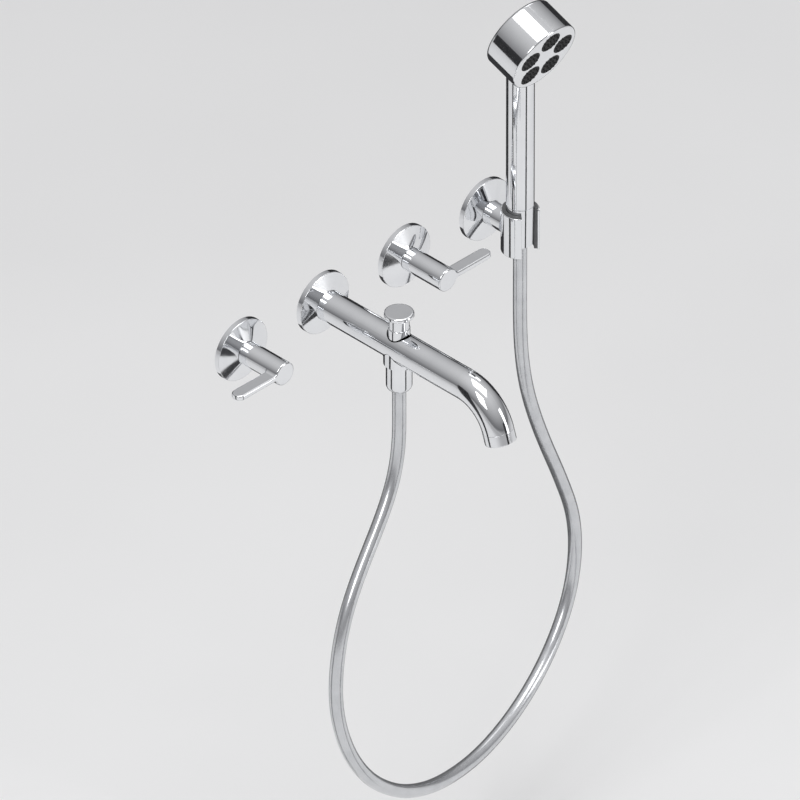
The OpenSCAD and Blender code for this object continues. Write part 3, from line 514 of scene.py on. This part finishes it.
class Look:
    """Builds one procedural material, node by node."""

    def __init__(self, name, metallic=0.0, coat=0.0, coat_rough=0.03, ior=1.5):
        self.mat = bpy.data.materials.new(name)
        self.mat.use_nodes = True
        self.tree = self.mat.node_tree
        self.shader = self.tree.nodes["Principled BSDF"]
        self.shader.inputs["Metallic"].default_value = metallic
        self.shader.inputs["Coat Weight"].default_value = coat
        self.shader.inputs["Coat Roughness"].default_value = coat_rough
        self.shader.inputs["IOR"].default_value = ior
        self.place = self.tree.nodes.new("ShaderNodeTexCoord")
        self.normal = None

    def node(self, kind, **values):
        made = self.tree.nodes.new(kind)
        for key, value in values.items():
            if hasattr(made, key):
                setattr(made, key, value)
            else:
                made.inputs[key.replace("_", " ")].default_value = value
        return made

    def link(self, a, b):
        self.tree.links.new(a, b)

    def noise(self, scale, detail=3.0, roughness=0.55, stretch=None):
        made = self.node("ShaderNodeTexNoise", Scale=scale, Detail=detail, Roughness=roughness)
        source = self.place.outputs["Object"]
        if stretch:
            fit = self.node("ShaderNodeMapping", Scale=stretch)
            self.link(source, fit.inputs["Vector"])
            source = fit.outputs["Vector"]
        self.link(source, made.inputs["Vector"])
        return made.outputs["Fac"]

    def spread(self, value, low, high, from_low=0.3, from_high=0.7):
        made = self.node("ShaderNodeMapRange")
        ends = (("From Min", from_low), ("From Max", from_high), ("To Min", low), ("To Max", high))
        for key, number in ends:
            made.inputs[key].default_value = number
        self.link(value, made.inputs["Value"])
        return made.outputs["Result"]

    def blend(self, value, first, second, from_low=0.3, from_high=0.7):
        ramp = self.node("ShaderNodeValToRGB")
        ramp.color_ramp.elements[0].position = from_low
        ramp.color_ramp.elements[1].position = from_high
        ramp.color_ramp.elements[0].color = (*first, 1)
        ramp.color_ramp.elements[1].color = (*second, 1)
        self.link(value, ramp.inputs["Fac"])
        return ramp.outputs["Color"]

    def bump(self, value, strength, distance):
        made = self.node("ShaderNodeBump", Strength=strength, Distance=distance)
        self.link(value, made.inputs["Height"])
        if self.normal:
            self.link(self.normal, made.inputs["Normal"])
        self.normal = made.outputs["Normal"]

    def maths(self, how, a, b):
        made = self.node("ShaderNodeMath", operation=how)
        for socket, value in zip(made.inputs, (a, b)):
            if isinstance(value, (int, float)):
                socket.default_value = value
            else:
                self.link(value, socket)
        return made.outputs["Value"]

    def done(self, colour, roughness):
        self.link(colour, self.shader.inputs["Base Color"])
        self.link(roughness, self.shader.inputs["Roughness"])
        if self.normal:
            self.link(self.normal, self.shader.inputs["Normal"])
        return self.mat


def chrome_look():
    look = Look("polished_chrome", metallic=1.0)
    haze = look.noise(38, 4)
    wipe = look.noise(120, 5, 0.65, stretch=(1, 1, 0.12))
    pores = look.noise(2600, 2)
    rough = look.maths("ADD", look.spread(haze, 0.035, 0.075),
                       look.spread(wipe, 0.0, 0.035, 0.45, 0.75))
    look.bump(pores, 0.02, 0.00002)
    look.bump(wipe, 0.012, 0.00005)
    return look.done(look.blend(haze, (0.80, 0.81, 0.83), (0.86, 0.87, 0.885)), rough)


def brass_look():
    look = Look("machined_brass", metallic=1.0)
    tarnish = look.noise(90, 5, 0.6)
    grain = look.noise(900, 3, 0.6, stretch=(1, 0.08, 1))
    look.bump(grain, 0.15, 0.00004)
    return look.done(look.blend(tarnish, (0.60, 0.42, 0.17), (0.78, 0.60, 0.29)),
                     look.spread(grain, 0.22, 0.42))


def steel_look():
    look = Look("stainless_steel", metallic=1.0)
    grain = look.noise(1400, 3, 0.6, stretch=(1, 1, 0.1))
    stain = look.noise(150, 3)
    look.bump(grain, 0.12, 0.00003)
    return look.done(look.blend(stain, (0.46, 0.46, 0.47), (0.60, 0.60, 0.61)),
                     look.spread(grain, 0.20, 0.38))


def rubber_look(name, dark, light, grain_scale, low, high):
    look = Look(name)
    grain = look.noise(grain_scale, 4, 0.6)
    bloom = look.noise(160, 3)
    look.bump(grain, 0.25, 0.00006)
    return look.done(look.blend(bloom, dark, light), look.spread(grain, low, high))


def plastic_look(name, dark, light, low, high, texture=1800):
    look = Look(name)
    skin = look.noise(texture, 3, 0.5)
    flow = look.noise(60, 3)
    look.bump(skin, 0.12, 0.00004)
    return look.done(look.blend(flow, dark, light), look.spread(skin, low, high))


def foam_look():
    look = Look("gasket_foam")
    cells = look.node("ShaderNodeTexVoronoi", Scale=1500.0)
    look.link(look.place.outputs["Object"], cells.inputs["Vector"])
    look.bump(cells.outputs["Distance"], 0.6, 0.0002)
    return look.done(look.blend(cells.outputs["Distance"], (0.10, 0.10, 0.11), (0.18, 0.18, 0.19), 0.1, 0.6),
                     look.spread(cells.outputs["Distance"], 0.75, 0.95, 0.0, 0.6))


def hose_look():
    """A smooth silver sleeve with the faint diagonal lie of the strands beneath it"""
    look = Look("silver_sleeve", metallic=0.75, coat=0.35, coat_rough=0.12)
    strands_round, strands_per_metre = 14.0, 900.0
    fit = look.node("ShaderNodeMapping", Scale=(strands_round, strands_per_metre, 1.0))
    look.link(look.place.outputs["UV"], fit.inputs["Vector"])
    turn = look.node("ShaderNodeSeparateXYZ")
    look.link(fit.outputs["Vector"], turn.inputs["Vector"])
    lean = look.maths("ADD", turn.outputs["X"], turn.outputs["Y"])
    strands = look.maths("SINE", look.maths("MULTIPLY", lean, 2 * math.pi), 0.0)
    cloud = look.noise(70, 4)
    look.bump(strands, 0.06, 0.00004)
    look.bump(look.noise(1500, 3), 0.05, 0.00004)
    return look.done(look.blend(cloud, (0.60, 0.61, 0.63), (0.70, 0.71, 0.73)),
                     look.spread(strands, 0.20, 0.27, -1, 1))


LOOKS = {
    "chrome_plate": chrome_look(),
    "bare_brass": brass_look(),
    "ceramic": plastic_look("lapped_ceramic", (0.82, 0.80, 0.76), (0.90, 0.89, 0.86),
                            0.12, 0.24, 2600),
    "seal_rubber": rubber_look("nitrile_rubber", (0.018, 0.018, 0.019), (0.035, 0.034, 0.034),
                               1400, 0.45, 0.68),
    "gasket_foam": foam_look(),
    "spray_rubber": rubber_look("spray_silicone", (0.004, 0.004, 0.005), (0.009, 0.009, 0.010),
                                1800, 0.55, 0.75),
    "white_plastic": plastic_look("white_acetal", (0.70, 0.70, 0.66), (0.80, 0.80, 0.77),
                                  0.35, 0.52),
    "liner_plastic": plastic_look("grey_nylon", (0.085, 0.087, 0.09), (0.125, 0.127, 0.13),
                                  0.42, 0.58),
    "hose_skin": hose_look(),
    "spring_steel": steel_look(),
    "screw_steel": steel_look(),
}


def paint():
    """Every piece and every CAD node takes the look of its material slot."""
    for entry in frame["record"]["subparts"]:
        obj = NODES[entry["node"]]
        obj.data.materials.clear()
        obj.data.materials.append(LOOKS[entry["material_slot"]])
    for obj in bpy.context.scene.objects:
        if obj.type == "MESH" and obj.name not in NODES and "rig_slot" in obj:
            obj.data.materials.clear()
            obj.data.materials.append(LOOKS[obj["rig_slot"]])


paint()


# ---------------------------------------------------------------- studio

FLOOR_Z = CAD_BOX[0].z - 0.12


def make_floor():
    half, height = 40.0, FLOOR_Z
    mesh = bpy.data.meshes.new("floor")
    corners = [(-half, -half, height), (half, -half, height), (half, half, height), (-half, half, height)]
    mesh.from_pydata(corners, [], [(0, 1, 2, 3)])
    floor = bpy.data.objects.new("floor", mesh)
    bpy.context.scene.collection.objects.link(floor)
    look = Look("pale_floor")
    cloud = look.noise(1.5, 3)
    floor.data.materials.append(look.done(look.blend(cloud, (0.86, 0.86, 0.86), (0.89, 0.89, 0.89)),
                                          look.spread(cloud, 0.65, 0.8)))


def soft_light(name, place, aim, size, power):
    lamp = bpy.data.lights.new(name, "AREA")
    lamp.shape = "RECTANGLE"
    lamp.size, lamp.size_y = size
    lamp.energy = power
    obj = bpy.data.objects.new(name, lamp)
    obj.location = place
    obj.rotation_mode = "QUATERNION"
    obj.rotation_quaternion = (Vector(aim) - Vector(place)).to_track_quat("-Z", "Y")
    obj.visible_camera = False
    bpy.context.scene.collection.objects.link(obj)


def make_lights():
    aim = (0.07, -0.08, -0.1)
    soft_light("key", place=(-2.6, -1.0, 2.4), aim=aim, size=(1.2, 1.8), power=32)
    soft_light("fill", place=(1.6, -3.0, 0.8), aim=aim, size=(0.8, 2.4), power=18)
    soft_light("top", place=(0.2, -0.4, 3.0), aim=aim, size=(1.8, 1.8), power=30)
    soft_light("back", place=(2.6, 1.2, 3.2), aim=aim, size=(1.6, 1.6), power=8)


def make_card():
    """A dark card behind the object and two narrow strips, seen only as reflections in the metal"""
    centre = Vector((0.07, -0.08, 0))
    foot, knee, top = FLOOR_Z + 0.01, FLOOR_Z + 0.15, 0.75
    profile = [(0.12, foot), (2.4, foot), (2.9, knee), (3.1, top)]
    sectors = ((4, 105), (-86, -74), (150, 164))
    rows, steps = len(profile), 24
    verts, faces = [], []
    for first, last in sectors:
        start = len(verts)
        for i in range(steps + 1):
            a = math.radians(first + (last - first) * i / steps)
            verts += [(centre.x + r * math.cos(a), centre.y + r * math.sin(a), z) for r, z in profile]
        for i in range(start, start + steps * rows, rows):
            faces += [(i + k, i + rows + k, i + rows + k + 1, i + k + 1) for k in range(rows - 1)]
    mesh = bpy.data.meshes.new("dark_card")
    mesh.from_pydata(verts, [], faces)
    card = bpy.data.objects.new("dark_card", mesh)
    bpy.context.scene.collection.objects.link(card)
    card.visible_camera = card.visible_diffuse = False
    card.visible_shadow = card.visible_transmission = False
    look = Look("dark_card")
    cloud = look.noise(2, 3)
    mesh.materials.append(look.done(look.blend(cloud, (0.02, 0.02, 0.022), (0.035, 0.035, 0.038)),
                                    look.spread(cloud, 0.8, 0.9)))


def make_world():
    world = bpy.data.worlds.new("studio")
    bpy.context.scene.world = world
    world.use_nodes = True
    tree = world.node_tree
    place = tree.nodes.new("ShaderNodeTexCoord")
    split = tree.nodes.new("ShaderNodeSeparateXYZ")
    ramp = tree.nodes.new("ShaderNodeValToRGB")
    fit = tree.nodes.new("ShaderNodeMapRange")
    fit.inputs["From Min"].default_value = -1
    tree.links.new(place.outputs["Generated"], split.inputs["Vector"])
    tree.links.new(split.outputs["Z"], fit.inputs["Value"])
    tree.links.new(fit.outputs["Result"], ramp.inputs["Fac"])
    stops = ramp.color_ramp.elements
    stops[0].position, stops[0].color = 0.46, (0.80, 0.80, 0.80, 1)
    stops[1].position, stops[1].color = 1.0, (0.95, 0.95, 0.96, 1)
    dark = stops.new(0.53)
    dark.color = (0.22, 0.22, 0.23, 1)
    tree.links.new(ramp.outputs["Color"], tree.nodes["Background"].inputs["Color"])
    tree.nodes["Background"].inputs["Strength"].default_value = 0.76


make_floor()
make_lights()
make_card()
make_world()
bpy.context.scene.view_settings.view_transform = "Standard"
